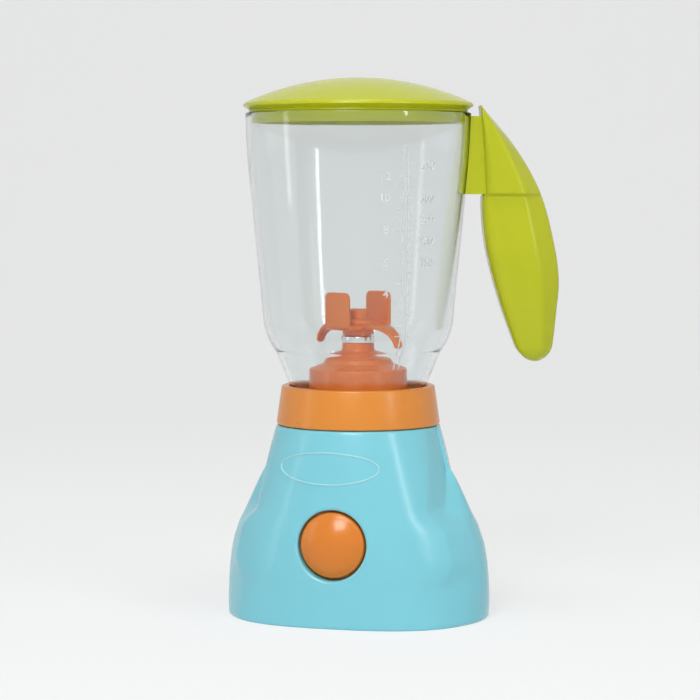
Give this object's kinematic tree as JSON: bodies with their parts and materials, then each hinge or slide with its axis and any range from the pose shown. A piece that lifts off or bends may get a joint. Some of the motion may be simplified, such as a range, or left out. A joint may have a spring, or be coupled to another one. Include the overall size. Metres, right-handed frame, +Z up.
{
  "type": "toy blender",
  "caption": "Battery toy blender: tapered base with push button, clear jar with handle on an orange collar, domed lid and spinning blades.",
  "frame": {"origin": "on the drive axis, in the flat underside of the base, which rests on the table", "axes": "+Z up along the drive axis through base, blades, jar and lid; -Y is the front with the button; the jar's handle stands 16 degrees from +X towards +Y"},
  "size_m": [0.1567, 0.1084, 0.2538],
  "materials": {
    "base_plastic": "moulded turquoise plastic, smooth and glossy",
    "orange_plastic": "moulded orange plastic, smooth and glossy",
    "lime_plastic": "moulded lime green plastic, smooth and glossy",
    "clear_plastic": "clear injection moulded plastic",
    "white_plastic": "natural white moulded plastic",
    "bright_ring": "bright turned metal",
    "contact_steel": "plated spring steel",
    "screw_steel": "zinc plated steel",
    "motor_steel": "plated steel can",
    "battery_jacket": "printed shrink sleeve, plain dark",
    "speaker_black": "black basket and magnet",
    "board_green": "green circuit board",
    "switch_black": "black moulded components",
    "lamp_clear": "clear resin lamp"
  },
  "bodies": {
    "base": {"base_shell": "base_plastic", "bottom_cover": "base_plastic", "cover_screws": "screw_steel", "battery_door": "base_plastic", "door_screw": "screw_steel", "battery_cells": "battery_jacket", "battery_contacts": "contact_steel", "speaker": "speaker_black", "button_spring": "contact_steel", "switch_board": "board_green", "board_screws": "screw_steel", "press_switch": "switch_black", "board_components": "switch_black", "led_lamp": "lamp_clear", "gearbox_frame": "white_plastic", "frame_screws": "screw_steel", "motor_can": "motor_steel", "motor_end_cap": "white_plastic", "motor_retainer": "white_plastic", "retainer_screws": "screw_steel", "drive_bush": "white_plastic"},
    "button": {"main_button": "orange_plastic"},
    "motor_rotor": {"motor_shaft": "contact_steel", "motor_pinion": "white_plastic"},
    "drive": {"drive_gear": "white_plastic", "drive_shaft": "contact_steel", "drive_coupling": "orange_plastic"},
    "jar": {"jar": "clear_plastic", "collar": "orange_plastic", "blade_seat": "orange_plastic", "seat_screws": "screw_steel", "blade_bush": "white_plastic", "bearing_cap": "bright_ring", "handle_front_half": "lime_plastic", "handle_rear_half": "lime_plastic", "handle_screws": "screw_steel"},
    "blades": {"blade_rotor": "orange_plastic", "blade_shaft": "contact_steel", "driven_coupling": "white_plastic", "shaft_washer": "white_plastic"},
    "lid": {"lid": "lime_plastic"}
  },
  "joints": [
    {"name": "button_press", "type": "slide", "parent": "base", "child": "button", "axis": [0, 1, 0], "range_m": [0, 0.003], "stiffness_N_per_m": 400, "deforming": ["button_spring"]},
    {"name": "drive_spin", "type": "hinge", "parent": "base", "child": "drive", "pos_m": [0, 0, 0.0902], "axis": [0, 0, 1], "continuous": true},
    {"name": "motor_spin", "type": "hinge", "parent": "base", "child": "motor_rotor", "pos_m": [0, 0.0185, 0.0902], "axis": [0, 0, 1], "continuous": true},
    {"name": "jar_lift", "type": "slide", "parent": "base", "child": "jar", "axis": [0, 0, 1], "range_m": [0, 0.06]},
    {"name": "blade_spin", "type": "hinge", "parent": "jar", "child": "blades", "pos_m": [0, 0, 0.1351], "axis": [0, 0, 1], "continuous": true},
    {"name": "lid_lift", "type": "slide", "parent": "jar", "child": "lid", "axis": [0, 0, 1], "range_m": [0, 0.045]}
  ],
  "couplings": [
    {"joint": "motor_spin", "follows": "drive_spin", "ratio": -3.6},
    {"joint": "blade_spin", "follows": "drive_spin", "ratio": 1}
  ]
}
